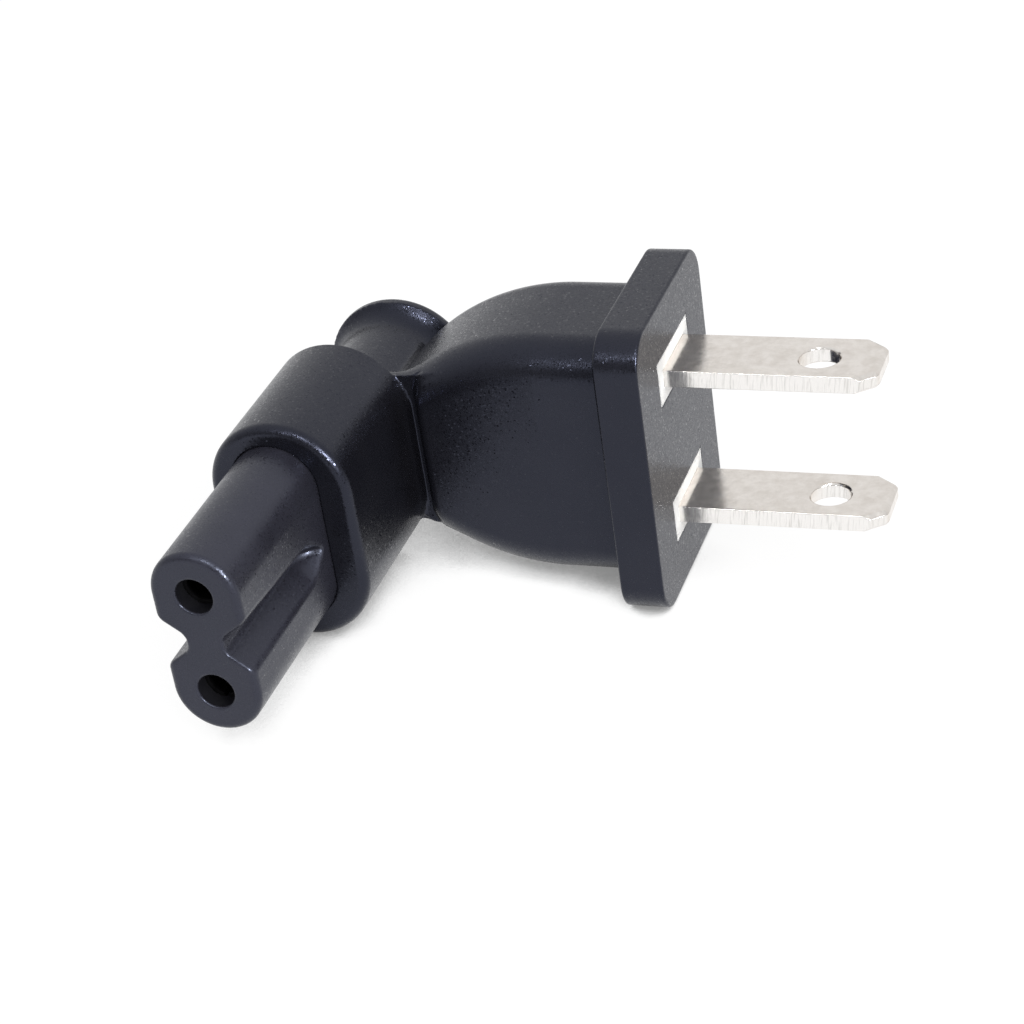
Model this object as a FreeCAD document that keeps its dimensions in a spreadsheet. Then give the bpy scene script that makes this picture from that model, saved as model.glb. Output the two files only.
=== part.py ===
import FreeCAD, Part
import Sketcher
import math
import os
import re

# Right-angle adapter: a plug with two flat blades at one end, a figure-eight socket nose at the other.
# The origin is the middle of the plug face, between the blades. Before the part is laid down, +X runs
# out along the blades, Z joins the two blades, and the socket nose looks along -Y.

DRIVING_SIZES = [
    ("flange_height", 25.4, "plug flange, along Z"),
    ("flange_depth", 19.2, "plug flange, along Y"),
    ("flange_thick", 3.65, "plug flange, along X"),
    ("flange_corner", 3.0, "corner radius of the flange outline"),
    ("flange_round", 0.3, "rounding of the flange edges"),
    ("barrel_height", 21.48, "barrel at the flange, along Z"),
    ("barrel_depth", 14.6, "barrel at the flange, along Y"),
    ("barrel_corner", 3.2, "rounding along the barrel"),
    ("dome_radius", 18.5, "radius of the barrel's domed top and bottom"),
    ("dome_start", 9.7, "plug face to the start of the dome"),
    ("dome_sink", 4.0, "end of the dome to the socket axis, inside the hub"),
    ("barrel_taper", 0.7, "how far each side of the barrel leans in along the dome"),
    ("side_reach", 20.5, "plug face to the end of the barrel's sides"),
    ("side_round", 0.8, "rounding of the upright edge where each side ends"),
    ("bridge_depth", 9.8, "barrel beyond its sides, along Y"),
    ("connector_axis", 27.83, "plug face to the socket axis, along X"),
    ("collar_shift", 0.3, "middle of the collar to the socket axis, towards the plug"),
    ("collar_drop", 0.15, "middle of the collar to the socket axis, downwards"),
    ("collar_width", 12.15, "oval collar, along X"),
    ("collar_height", 19.6, "oval collar, along Z"),
    ("collar_front", 19.0, "blade plane to the collar's front face"),
    ("collar_rear", 5.1, "blade plane to the collar's rear edge"),
    ("collar_round", 0.8, "rounding of the collar's front edge"),
    ("collar_rear_round", 0.15, "rounding of the collar's rear edge"),
    ("web_height", 13.7, "web between collar and barrel, along Z"),
    ("web_length", 5.0, "web, along X, centred on the collar's side"),
    ("web_round", 0.3, "rounding of the web's front edges"),
    ("web_back", 1.6, "larger rounding of the web's rear edges"),
    ("hub_radius", 5.7, "hub behind the collar"),
    ("neck_radius", 5.3, "narrowest place of the flared tail"),
    ("flare_angle", 45.0, "slope in degrees at which the flare meets the rim"),
    ("tail_radius", 6.5, "rim of the flared tail"),
    ("tail_reach", 9.65, "blade plane to the end of the tail"),
    ("tail_round", 0.9, "rounding of the tail's rim"),
    ("nose_front", 34.8, "blade plane to the nose face"),
    ("nose_rear", 13.4, "blade plane to the rear of the nose insert"),
    ("nose_width", 7.3, "figure-eight nose, along X"),
    ("nose_round", 0.4, "rounding of the nose's front edge"),
    ("pin_pitch", 8.6, "spacing of the two pin holes"),
    ("pin_entry", 3.0, "diameter of the entry holes"),
    ("entry_wall", 1.6, "thickness of the nose's front wall"),
    ("notch_mouth", 4.4, "side notch at the nose surface, along Z"),
    ("notch_floor", 1.3, "side notch at its floor, along Z"),
    ("notch_web", 3.1, "wall left between the two notch floors"),
    ("notch_length", 12.1, "straight run of the notch"),
    ("notch_runout", 2.8, "radius of the notch's curved end"),
    ("anchor_lip", 1.1, "how far the anchor rib stands out of the insert"),
    ("anchor_thick", 2.2, "anchor rib, along Y"),
    ("anchor_inset", 1.1, "collar front to the anchor rib"),
    ("contact_bore", 2.5, "inside diameter of a contact tube"),
    ("contact_wall", 0.5, "wall of a contact tube"),
    ("contact_length", 12.5, "contact tube, along Y"),
    ("contact_floor", 0.6, "closed end of a contact tube"),
    ("contact_slit", 0.5, "slit of a contact tube"),
    ("contact_clearance", 0.05, "contact in its chamber, radial"),
    ("crimp_length", 4.6, "crimp barrel of a contact"),
    ("crimp_wall", 0.45, "wall of a crimp barrel"),
    ("wire_diameter", 1.2, "copper conductor"),
    ("sleeve_diameter", 2.2, "insulated lead"),
    ("wire_clearance", 0.03, "conductor in its crimp, sleeve and tab, radial"),
    ("lead_level", 2.4, "height of a lead above or below the middle, in the barrel"),
    ("lead_bend", 3.0, "bend radius of a lead behind its contact"),
    ("lead_turn", 6.0, "bend radius of a lead at the right-angle turn"),
    ("lead_bare", 0.3, "bare conductor between crimp and sleeve"),
    ("lead_straight", 0.5, "straight lead left inside the nose insert before its first bend"),
    ("blade_pitch", 12.7, "spacing of the blades"),
    ("blade_width", 6.35, "blade, along Y"),
    ("blade_thick", 1.5, "blade, along Z"),
    ("blade_length", 17.2, "blade in front of the plug face"),
    ("tip_length", 1.35, "tip chamfer, along the blade"),
    ("tip_inset", 1.05, "tip chamfer, across the blade"),
    ("tip_corner", 0.6, "rounding of the tip's two corners"),
    ("tip_bevel", 0.35, "bevel of the tip's edges"),
    ("lock_hole", 3.3, "diameter of the hole in a blade"),
    ("lock_hole_reach", 12.05, "plug face to the hole"),
    ("tab_width", 4.4, "solder tab, along Y"),
    ("tab_overlap", 1.2, "tab beyond the conductor's axis, along Z"),
    ("tab_bend", 1.0, "outer radius where the tab is bent off the blade"),
    ("carrier_back", 8.0, "plug face to the back of the blade carrier"),
    ("boss_width", 8.8, "white boss, along Y"),
    ("boss_height", 3.75, "white boss, along Z"),
    ("boss_depth", 3.4, "white boss, along X"),
    ("slot_clearance", 0.03, "blade in its slot, each side"),
]
ALIASES = {alias for alias, _, _ in DRIVING_SIZES}

doc = FreeCAD.newDocument("figure_eight_adapter")
sheet = doc.addObject("Spreadsheet::Sheet", "sizes")
for row, (alias, number, note) in enumerate(DRIVING_SIZES, start=1):
    sheet.set(f"A{row}", note)
    sheet.set(f"B{row}", str(number))
    sheet.setAlias(f"B{row}", alias)
doc.recompute()

# Places that several pieces share, as formulas in the sheet's aliases
AXIS_X = "-connector_axis"
COLLAR_X = "(collar_shift - connector_axis)"
PIN_LEVEL = "(pin_pitch / 2)"
BLADE_LEVEL = "(blade_pitch / 2)"
CONTACT_FRONT = "(nose_front - entry_wall)"
CONTACT_REAR = f"({CONTACT_FRONT} - contact_length)"
CRIMP_FRONT = f"({CONTACT_REAR} - contact_floor)"
CRIMP_REAR = f"({CONTACT_REAR} - crimp_length)"
WIRE_BORE = "(wire_diameter + 2 * wire_clearance)"
TAB_BACK = "(carrier_back + blade_thick)"
SIDES = {"upper": 1, "lower": -1}

# A sketch's own origin, as element and point, and its normal
ORIGIN = (-1, 1)
NORMAL = FreeCAD.Vector(0, 0, 1)


# Formulas

def value(formula):
    """Number that a formula gives now."""
    return float(sheet.evalExpression(formula))


def bound(formula):
    """The same formula as another object holds it, with the sheet's name on each alias."""
    return re.sub(r"[a-z_]+", lambda word: f"sizes.{word[0]}" if word[0] in ALIASES else word[0], formula)


def tie(thing, prop, formula):
    thing.setExpression(prop, bound(formula))


# Sketches

def new_body(label):
    body = doc.addObject("PartDesign::Body", label)
    body.Label = label
    return body


def new_sketch(body, name, role, along_x="", along_y="", along_z=""):
    """Sketch on an origin plane of its body, shifted in the plane and along its normal."""
    sketch = body.newObject("Sketcher::SketchObject", f"{body.Name}_{name}")
    plane = next(item for item in body.Origin.OriginFeatures if item.Role == role)
    sketch.AttachmentSupport = [(plane, "")]
    sketch.MapMode = "FlatFace"
    for axis, formula in (("x", along_x), ("y", along_y), ("z", along_z)):
        if formula:
            tie(sketch, f"AttachmentOffset.Base.{axis}", formula)
    return sketch


def point(across, up):
    return FreeCAD.Vector(value(across), value(up), 0)


def bearing(centre, place):
    """Angle at which a place is seen from a centre."""
    away = point(*place) - point(*centre)
    return math.atan2(away.y, away.x)


def hold(sketch, kind, *places):
    return sketch.addConstraint(Sketcher.Constraint(kind, *places))


def fix_number(sketch, kind, places, formula):
    index = hold(sketch, kind, *places, value(formula))
    tie(sketch, f"Constraints[{index}]", formula)


def fix_point(sketch, element, end, place):
    """Hold one end of a sketch element at a place given by two formulas, where 0 is the sketch's axis."""
    for kind, formula, axis in zip(("DistanceX", "DistanceY"), place, (-2, -1)):
        if formula == "0":
            hold(sketch, "PointOnObject", element, end, axis)
        else:
            fix_number(sketch, kind, (*ORIGIN, element, end), formula)


def draw_circle(sketch, diameter, centre=("0", "0")):
    circle = sketch.addGeometry(Part.Circle(point(*centre), NORMAL, value(diameter) / 2), False)
    fix_number(sketch, "Diameter", (circle,), diameter)
    fix_point(sketch, circle, 3, centre)


def draw_chain(sketch, start, moves, closed=False):
    """Runs end to end from a start. A move is an end place, and for an arc also its centre and radius."""
    here = start
    pieces = []
    for end, *arc in moves:
        if arc:
            centre, radius = arc
            first, last = bearing(centre, here), bearing(centre, end)
            onward = (last - first) % (2 * math.pi) <= math.pi
            span = (first, last) if onward else (last, first)
            circle = Part.Circle(point(*centre), NORMAL, value(radius))
            element = sketch.addGeometry(Part.ArcOfCircle(circle, *span), False)
            fix_number(sketch, "Radius", (element,), radius)
            ends = (1, 2) if onward else (2, 1)
        else:
            element = sketch.addGeometry(Part.LineSegment(point(*here), point(*end)), False)
            ends = (1, 2)
        fix_point(sketch, element, ends[0], here)
        pieces.append((element, *ends))
        here = end
    for (element, _, head), (following, tail, _) in zip(pieces, pieces[1:]):
        hold(sketch, "Coincident", element, head, following, tail)
    if closed:
        hold(sketch, "Coincident", pieces[-1][0], pieces[-1][2], pieces[0][0], pieces[0][1])
    else:
        fix_point(sketch, pieces[-1][0], pieces[-1][2], here)


def draw_polygon(sketch, corners):
    draw_chain(sketch, corners[0], [(corner,) for corner in corners[1:] + corners[:1]], closed=True)


def draw_rectangle(sketch, left, right, bottom, top):
    draw_polygon(sketch, [(left, bottom), (right, bottom), (right, top), (left, top)])


def draw_rounded_rectangle(sketch, half_wide, half_tall, corner):
    """Rectangle about the sketch's origin with four equal round corners."""
    wide, tall, radius = value(half_wide), value(half_tall), value(corner)
    flat_wide, flat_tall = wide - radius, tall - radius
    spans = [
        ((-flat_wide, -tall), (flat_wide, -tall)),
        ((wide, -flat_tall), (wide, flat_tall)),
        ((flat_wide, tall), (-flat_wide, tall)),
        ((-wide, flat_tall), (-wide, -flat_tall)),
    ]
    centres = [
        (flat_wide, -flat_tall),
        (flat_wide, flat_tall),
        (-flat_wide, flat_tall),
        (-flat_wide, -flat_tall),
    ]
    lines = []
    arcs = []
    for quarter, ((start, end), centre) in enumerate(zip(spans, centres)):
        line = Part.LineSegment(FreeCAD.Vector(*start, 0), FreeCAD.Vector(*end, 0))
        lines.append(sketch.addGeometry(line, False))
        circle = Part.Circle(FreeCAD.Vector(*centre, 0), NORMAL, radius)
        turn = math.radians(90 * quarter - 90)
        arcs.append(sketch.addGeometry(Part.ArcOfCircle(circle, turn, turn + math.pi / 2), False))
    for quarter, (line, arc) in enumerate(zip(lines, arcs)):
        hold(sketch, "Tangent", line, 2, arc, 1)
        hold(sketch, "Tangent", arc, 2, lines[(quarter + 1) % 4], 1)
        hold(sketch, "Vertical" if quarter % 2 else "Horizontal", line)
    for arc in arcs[1:]:
        hold(sketch, "Equal", arcs[0], arc)
    hold(sketch, "Symmetric", arcs[1], 3, arcs[3], 3, *ORIGIN)
    fix_number(sketch, "DistanceX", (*ORIGIN, lines[1], 1), half_wide)
    fix_number(sketch, "DistanceY", (*ORIGIN, lines[2], 1), half_tall)
    fix_number(sketch, "Radius", (arcs[0],), corner)


def draw_oval(sketch, radius, half_straight):
    """Half circles above and below the origin, joined by straight sides."""
    right, left = radius, f"-({radius})"
    top, bottom = half_straight, f"-({half_straight})"
    crown = ("0", f"{half_straight} + {radius}")
    base = ("0", f"-({half_straight} + {radius})")
    upper, lower = ("0", top), ("0", bottom)
    draw_chain(sketch, (right, bottom), [
        ((right, top),),
        (crown, upper, radius),
        ((left, top), upper, radius),
        ((left, bottom),),
        (base, lower, radius),
        ((right, bottom), lower, radius),
    ], closed=True)


# Features

def add_feature(body, kind, name, **settings):
    feature = body.newObject(f"PartDesign::{kind}", f"{body.Name}_{name}")
    for prop, setting in settings.items():
        setattr(feature, prop, setting)
    return feature


def pad(body, name, sketch, length):
    feature = add_feature(body, "Pad", name, Profile=sketch)
    tie(feature, "Length", length)
    doc.recompute()


def dress_edges(body, kind, name, prop, size, chosen):
    """Fillet or chamfer on those edges of the body so far that a test chooses."""
    base = body.Tip
    names = [f"Edge{number}" for number, edge in enumerate(base.Shape.Edges, start=1) if chosen(edge)]
    feature = add_feature(body, kind, name, Base=(base, names))
    tie(feature, prop, size)
    doc.recompute()


def round_edges(body, name, radius, chosen):
    dress_edges(body, "Fillet", name, "Radius", radius, chosen)


def cut_feature(body, kind, name, **settings):
    """A feature that has to take material away."""
    before = body.Shape.Volume
    feature = add_feature(body, kind, name, **settings)
    doc.recompute()
    assert body.Shape.Volume < before, f"{feature.Name} cut nothing"
    return feature


def lies_on(edge, axis, level):
    """True where the whole edge lies in one plane across an axis."""
    box = edge.BoundBox
    return all(abs(getattr(box, axis + side) - level) < 1e-4 for side in ("Min", "Max"))


# Outer moulding: collar, hub with flared tail, domed barrel, flange

def collar(body):
    sketch = new_sketch(body, "collar_outline", "XZ_Plane", COLLAR_X, "-collar_drop", "collar_rear")
    draw_oval(sketch, "collar_width / 2", "(collar_height - collar_width) / 2")
    pad(body, "collar", sketch, "collar_front - collar_rear")
    front, rear = -value("collar_front"), -value("collar_rear")
    round_edges(body, "collar_front_edge", "collar_round", lambda edge: lies_on(edge, "Y", front))
    round_edges(body, "collar_rear_edge", "collar_rear_round", lambda edge: lies_on(edge, "Y", rear))


def web(body):
    """Upright web against the collar's rear face that runs into the barrel, its rear edges well rounded."""
    start = f"{COLLAR_X} + (collar_width - web_length) / 2"
    sketch = new_sketch(body, "web_section", "YZ_Plane", along_z=start)
    front, crest = "-collar_rear", "(web_round - collar_rear)"
    rear = "(web_round + web_back - collar_rear)"
    top = "(web_height / 2)"
    front_end, rear_end = "(web_height / 2 - web_round)", "(web_height / 2 - web_back)"
    draw_chain(sketch, (front, front_end), [
        ((front, f"-{front_end}"),),
        ((crest, f"-{top}"), (crest, f"-{front_end}"), "web_round"),
        ((rear, f"-{rear_end}"), (crest, f"-{rear_end}"), "web_back"),
        ((rear, rear_end),),
        ((crest, top), (crest, rear_end), "web_back"),
        ((front, front_end), (crest, front_end), "web_round"),
    ], closed=True)
    pad(body, "web", sketch, "web_length")


def waist_arc(waist, end):
    """Centre and radius of the arc that leaves the waist parallel to the axis and passes through an end."""
    out, along = f"({end[0]} - {waist[0]})", f"({end[1]} - ({waist[1]}))"
    radius = f"(({out} ^ 2 + {along} ^ 2) / (2 * {out}))"
    return (f"{waist[0]} + {radius}", waist[1]), radius


def hub_and_tail(body):
    """Turned about the socket axis: a hub, a waist that two arcs make, and a rounded rim."""
    sketch = new_sketch(body, "tail_profile", "XY_Plane", along_x=AXIS_X)
    inner_end = "-(collar_rear + collar_front) / 2"
    foot = ("hub_radius", "-collar_rear")
    rise, run = "(1 - cos(flare_angle * 1 deg))", "sin(flare_angle * 1 deg)"
    rim_centre = ("tail_radius - tail_round", "tail_reach - tail_round")
    rim_start = (f"(tail_radius - tail_round * {rise})", f"(tail_reach - tail_round * (1 + {run}))")
    flare_length = f"(({rim_start[0]} - neck_radius) / {rise} * {run})"
    waist = ("neck_radius", f"({rim_start[1]} - {flare_length})")
    rim_end = ("tail_radius - tail_round", "tail_reach")
    draw_chain(sketch, ("0", inner_end), [
        (("hub_radius", inner_end),),
        (foot,),
        (waist, *waist_arc(waist, foot)),
        (rim_start, *waist_arc(waist, rim_start)),
        (rim_end, rim_centre, "tail_round"),
        (("0", "tail_reach"),),
        (("0", inner_end),),
    ], closed=True)
    add_feature(body, "Revolution", "tail", Profile=sketch, ReferenceAxis=(sketch, ["V_Axis"]), Angle=360)
    doc.recompute()


def barrel(body):
    """Straight behind the flange, then a loft whose height follows an arc while its sides lean in."""
    run = "(connector_axis - dome_sink - dome_start)"
    sections = []
    for number, share in enumerate((0, 0.2, 0.4, 0.58, 0.74, 0.87, 1)):
        sketch = new_sketch(body, f"dome_{number}", "YZ_Plane", along_z=f"-(dome_start + {share} * {run})")
        drop = f"(dome_radius - sqrt(dome_radius ^ 2 - ({share} * {run}) ^ 2))"
        half_deep = f"barrel_depth / 2 - barrel_taper * {share}"
        draw_rounded_rectangle(sketch, half_deep, f"barrel_height / 2 - {drop}", "barrel_corner")
        sections.append(sketch)
    pad(body, "barrel", sections[0], "dome_start - flange_thick / 2")
    add_feature(body, "AdditiveLoft", "dome", Profile=sections[0], Sections=sections[1:], Ruled=False)
    doc.recompute()


def side_end(body, name, way):
    """Takes one side of the barrel away beyond its end and leaves a narrower bridge to the socket."""
    bridge = f"{way} * bridge_depth / 2"
    side = f"{way} * (barrel_depth / 2 - barrel_taper)"
    outer = f"{way} * barrel_depth"
    turned = f"{way} * (barrel_depth / 2 - barrel_taper - side_round)"
    begin = "(side_round - side_reach)"
    sketch = new_sketch(body, f"side_end_{name}", "XY_Plane")
    draw_chain(sketch, ("-connector_axis", bridge), [
        (("-side_reach", bridge),),
        (("-side_reach", turned),),
        ((begin, side), (begin, turned), "side_round"),
        ((begin, outer),),
        (("-connector_axis", outer),),
        (("-connector_axis", bridge),),
    ], closed=True)
    cut_feature(body, "Pocket", f"side_end_cut_{name}", Profile=sketch, Type="ThroughAll", Midplane=True)


def flange(body):
    sketch = new_sketch(body, "flange_outline", "YZ_Plane", along_z="-flange_thick")
    draw_rounded_rectangle(sketch, "flange_depth / 2", "flange_height / 2", "flange_corner")
    pad(body, "flange", sketch, "flange_thick")
    deep, tall, back = value("barrel_depth / 2"), value("barrel_height / 2"), -value("flange_thick")

    def on_outline(edge):
        middle = edge.valueAt((edge.FirstParameter + edge.LastParameter) / 2)
        beyond_barrel = abs(middle.y) > deep + 1e-3 or abs(middle.z) > tall + 1e-3
        return beyond_barrel and (lies_on(edge, "X", 0) or lies_on(edge, "X", back))

    round_edges(body, "flange_edges", "flange_round", on_outline)


def socket_moulding():
    body = new_body("socket_moulding")
    collar(body)
    web(body)
    hub_and_tail(body)
    return body


def plug_moulding():
    body = new_body("plug_moulding")
    barrel(body)
    side_end(body, "near", -1)
    side_end(body, "far", 1)
    flange(body)
    return body


# Figure-eight nose insert

def notch(body, name, way):
    """Trapezoid drawn along the side of the nose, then lifted out of it on an arc."""
    floor = f"{way} * notch_web / 2"
    depth = "((nose_width - notch_web) / 2)"
    beyond = "(notch_runout / 6)"
    half_floor = "notch_floor / 2"
    half_outer = f"({half_floor} + (notch_mouth - notch_floor) / 2 * (1 + {beyond} / {depth}))"
    outer = f"{way} * (nose_width / 2 + {beyond})"
    profile = new_sketch(body, f"notch_{name}", "XZ_Plane", along_x=AXIS_X, along_z="nose_front")
    draw_polygon(profile, [
        (floor, f"-{half_floor}"),
        (outer, f"-{half_outer}"),
        (outer, half_outer),
        (floor, half_floor),
    ])
    path = new_sketch(body, f"notch_path_{name}", "XY_Plane", along_x=AXIS_X)
    turn = (floor, "-(nose_front - notch_length)")
    centre = (f"{way} * (notch_web / 2 + notch_runout)", turn[1])
    lifted = (
        f"{way} * (notch_web / 2 + notch_runout * (1 - cos(88 deg)))",
        f"{turn[1]} + notch_runout * sin(88 deg)",
    )
    draw_chain(path, (floor, "-nose_front"), [(turn,), (lifted, centre, "notch_runout")])
    cut_feature(body, "SubtractivePipe", f"notch_cut_{name}", Profile=profile, Spine=(path, []))


def nose_blank():
    """The insert without its chambers: nose, anchor rib and notches."""
    body = new_body("nose_blank")
    outline = new_sketch(body, "outline", "XZ_Plane", along_x=AXIS_X, along_z="nose_rear")
    draw_oval(outline, "nose_width / 2", PIN_LEVEL)
    pad(body, "stem", outline, "nose_front - nose_rear")
    front = -value("nose_front")
    round_edges(body, "front_edge", "nose_round", lambda edge: lies_on(edge, "Y", front))
    rib_rear = "collar_front - anchor_inset - anchor_thick"
    rib = new_sketch(body, "anchor_rib_outline", "XZ_Plane", along_x=AXIS_X, along_z=rib_rear)
    draw_oval(rib, "(nose_width / 2 + anchor_lip)", PIN_LEVEL)
    pad(body, "anchor_rib", rib, "anchor_thick")
    notch(body, "right", 1)
    notch(body, "left", -1)
    return body


def contact_chambers():
    """Two stepped bores: a narrow entry through the front wall, a wide chamber behind it."""
    body = new_body("contact_chambers")
    for side, sign in SIDES.items():
        middle = ("0", f"{sign} * {PIN_LEVEL}")
        open_rear = "nose_rear - entry_wall"
        chamber = new_sketch(body, f"chamber_{side}", "XZ_Plane", along_x=AXIS_X, along_z=open_rear)
        draw_circle(chamber, "contact_bore + 2 * (contact_wall + contact_clearance)", middle)
        pad(body, f"chamber_bore_{side}", chamber, f"{CONTACT_FRONT} - nose_rear + entry_wall")
        entry = new_sketch(body, f"entry_{side}", "XZ_Plane", along_x=AXIS_X, along_z=CONTACT_REAR)
        draw_circle(entry, "pin_entry", middle)
        pad(body, f"entry_bore_{side}", entry, f"nose_front + entry_wall - {CONTACT_REAR}")
    return body


# Contacts and leads

def socket_contact(side, sign):
    """Rolled tube with a slit, a closed end and a crimp barrel behind it."""
    body = new_body(f"socket_contact_{side}")
    level = f"{sign} * {PIN_LEVEL}"
    tube_outside = "(contact_bore + 2 * contact_wall)"

    def ring(name, rear, length, outside, inside):
        sketch = new_sketch(body, f"{name}_outline", "XZ_Plane", along_x=AXIS_X, along_z=rear)
        draw_circle(sketch, outside, ("0", level))
        draw_circle(sketch, inside, ("0", level))
        pad(body, name, sketch, length)

    ring("tube", CONTACT_REAR, "contact_length", tube_outside, "contact_bore")
    slit = new_sketch(body, "slit_outline", "XY_Plane", along_x=AXIS_X, along_z=level)
    draw_rectangle(slit, "-contact_slit / 2", "contact_slit / 2", f"-{CONTACT_FRONT}", f"-{CONTACT_REAR}")
    cut = cut_feature(body, "Pocket", "slit", Profile=slit, Reversed=sign > 0)
    tie(cut, "Length", tube_outside)
    doc.recompute()
    ring("closed_end", f"{CONTACT_REAR} - contact_floor", "contact_floor", tube_outside, WIRE_BORE)
    ring("crimp", CRIMP_REAR, "crimp_length - contact_floor", f"{WIRE_BORE} + 2 * crimp_wall", WIRE_BORE)
    return body


def lead(label, sign, start_y, end_x, outside, inside=""):
    """Round run from contact to blade: back along Y, an S-bend inwards, then a right-angle turn to X."""
    body = new_body(label)
    pin_level, low_level = f"{sign} * {PIN_LEVEL}", f"{sign} * lead_level"
    step = f"({PIN_LEVEL} - lead_level)"
    half_run = f"(lead_bend * sqrt(1 - (1 - {step} / (2 * lead_bend)) ^ 2))"
    bend_start = "(lead_straight - nose_rear)"
    bend_end = f"({bend_start} + 2 * {half_run})"
    middle = (f"{bend_start} + {half_run}", f"{sign} * ({PIN_LEVEL} - {step} / 2)")

    def run(name, path, plane_y, level):
        profile = new_sketch(body, f"{name}_profile", "XZ_Plane", along_x=AXIS_X, along_z=plane_y)
        for diameter in filter(None, (outside, inside)):
            draw_circle(profile, diameter, ("0", level))
        add_feature(body, "AdditivePipe", name, Profile=profile, Spine=(path, []))
        doc.recompute()

    bend = new_sketch(body, "bend_path", "YZ_Plane", along_z=AXIS_X)
    draw_chain(bend, (f"-{start_y}", pin_level), [
        ((bend_start, pin_level),),
        (middle, (bend_start, f"{sign} * ({PIN_LEVEL} - lead_bend)"), "lead_bend"),
        ((bend_end, low_level), (bend_end, f"{sign} * (lead_level + lead_bend)"), "lead_bend"),
        (("-lead_turn", low_level),),
    ])
    run("bend", bend, start_y, pin_level)
    turn = new_sketch(body, "turn_path", "XY_Plane", along_x=AXIS_X, along_z=low_level)
    draw_chain(turn, ("0", "-lead_turn"), [
        (("lead_turn", "0"), ("lead_turn", "-lead_turn"), "lead_turn"),
        ((f"connector_axis - {end_x}", "0"),),
    ])
    run("turn", turn, "lead_turn", low_level)
    return body


# Blades and their carrier

def blade(side, sign):
    """Flat strip with a chamfered tip and a hole, bent inwards at the back into a solder tab."""
    body = new_body(f"blade_{side}")
    half, tip = "blade_width / 2", "(blade_width / 2 - tip_inset)"
    shoulder = "blade_length - tip_length"
    underside = f"{sign} * {BLADE_LEVEL} - blade_thick / 2"
    strip = new_sketch(body, "strip_outline", "XY_Plane", along_z=underside)
    draw_polygon(strip, [
        ("-carrier_back", f"-{half}"),
        (shoulder, f"-{half}"),
        ("blade_length", f"-{tip}"),
        ("blade_length", tip),
        (shoulder, half),
        ("-carrier_back", half),
    ])
    draw_circle(strip, "lock_hole", ("lock_hole_reach", "0"))
    pad(body, "strip", strip, "blade_thick")
    shoulder_x, tip_x = value(shoulder), value("blade_length")

    def on_tip_corner(edge):
        return lies_on(edge, "X", tip_x) and edge.BoundBox.ZLength > 1e-4

    round_edges(body, "tip_corners", "tip_corner", on_tip_corner)
    dress_edges(body, "Chamfer", "tip_edges", "Size", "tip_bevel",
                lambda edge: edge.BoundBox.XMin > shoulder_x - 1e-4 and edge.BoundBox.ZLength < 1e-4)
    outer = f"{sign} * ({BLADE_LEVEL} + blade_thick / 2)"
    inner = f"{sign} * (lead_level - tab_overlap)"
    tab = new_sketch(body, "tab_outline", "YZ_Plane", along_z=f"-{TAB_BACK}")
    low, high = (inner, outer) if sign > 0 else (outer, inner)
    draw_rectangle(tab, "-tab_width / 2", "tab_width / 2", low, high)
    draw_circle(tab, WIRE_BORE, ("0", f"{sign} * lead_level"))
    pad(body, "tab", tab, "blade_thick")
    back, top = -value(TAB_BACK), value(outer)

    def on_bend(edge):
        return lies_on(edge, "X", back) and lies_on(edge, "Z", top)

    round_edges(body, "tab_bend", "tab_bend", on_bend)
    return body


def carrier_blank():
    """White block with two bosses that end flush with the plug face, before its slots are cut."""
    body = new_body("carrier_blank")
    half_wide = "boss_width / 2"
    half_tall = f"({BLADE_LEVEL} + boss_height / 2)"
    block = new_sketch(body, "block_outline", "YZ_Plane", along_z="-carrier_back")
    draw_rectangle(block, f"-{half_wide}", half_wide, f"-{half_tall}", half_tall)
    pad(body, "block", block, "carrier_back - boss_depth")
    for side, sign in SIDES.items():
        boss = new_sketch(body, f"boss_{side}", "YZ_Plane", along_z="-boss_depth")
        low, high = (f"{sign} * {BLADE_LEVEL} {edge} boss_height / 2" for edge in "-+")
        draw_rectangle(boss, f"-{half_wide}", half_wide, low, high)
        pad(body, f"boss_pad_{side}", boss, "boss_depth")
    return body


def blade_slots():
    body = new_body("blade_slots")
    half_wide = "(blade_width / 2 + slot_clearance)"
    for side, sign in SIDES.items():
        slot = new_sketch(body, f"slot_{side}", "YZ_Plane", along_z=f"-{TAB_BACK}")
        low, high = (f"{sign} * {BLADE_LEVEL} {edge} (blade_thick / 2 + slot_clearance)" for edge in "-+")
        draw_rectangle(slot, f"-{half_wide}", half_wide, low, high)
        pad(body, f"slot_pad_{side}", slot, f"{TAB_BACK} + blade_thick")
    return body


# Assembly

def cut(label, base, tool):
    result = doc.addObject("Part::Cut", label)
    result.Label = label
    result.Base = base
    result.Tool = tool
    return result


def fuse(label, shapes):
    result = doc.addObject("Part::MultiFuse", label)
    result.Label = label
    result.Shapes = shapes
    return result


def lying_angle():
    """Tilt in degrees at which the flange's rear lower edge and the collar's underside touch a table."""
    flange_x, flange_z = value("flange_round - flange_thick"), value("flange_round - flange_height / 2")
    collar_x, collar_z = value(COLLAR_X), value("(collar_width - collar_height) / 2 - collar_drop")
    across, up = flange_x - collar_x, flange_z - collar_z
    reach = value("flange_round - collar_width / 2") / math.hypot(across, up)
    return math.degrees(math.asin(reach) - math.atan2(up, across))


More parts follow.
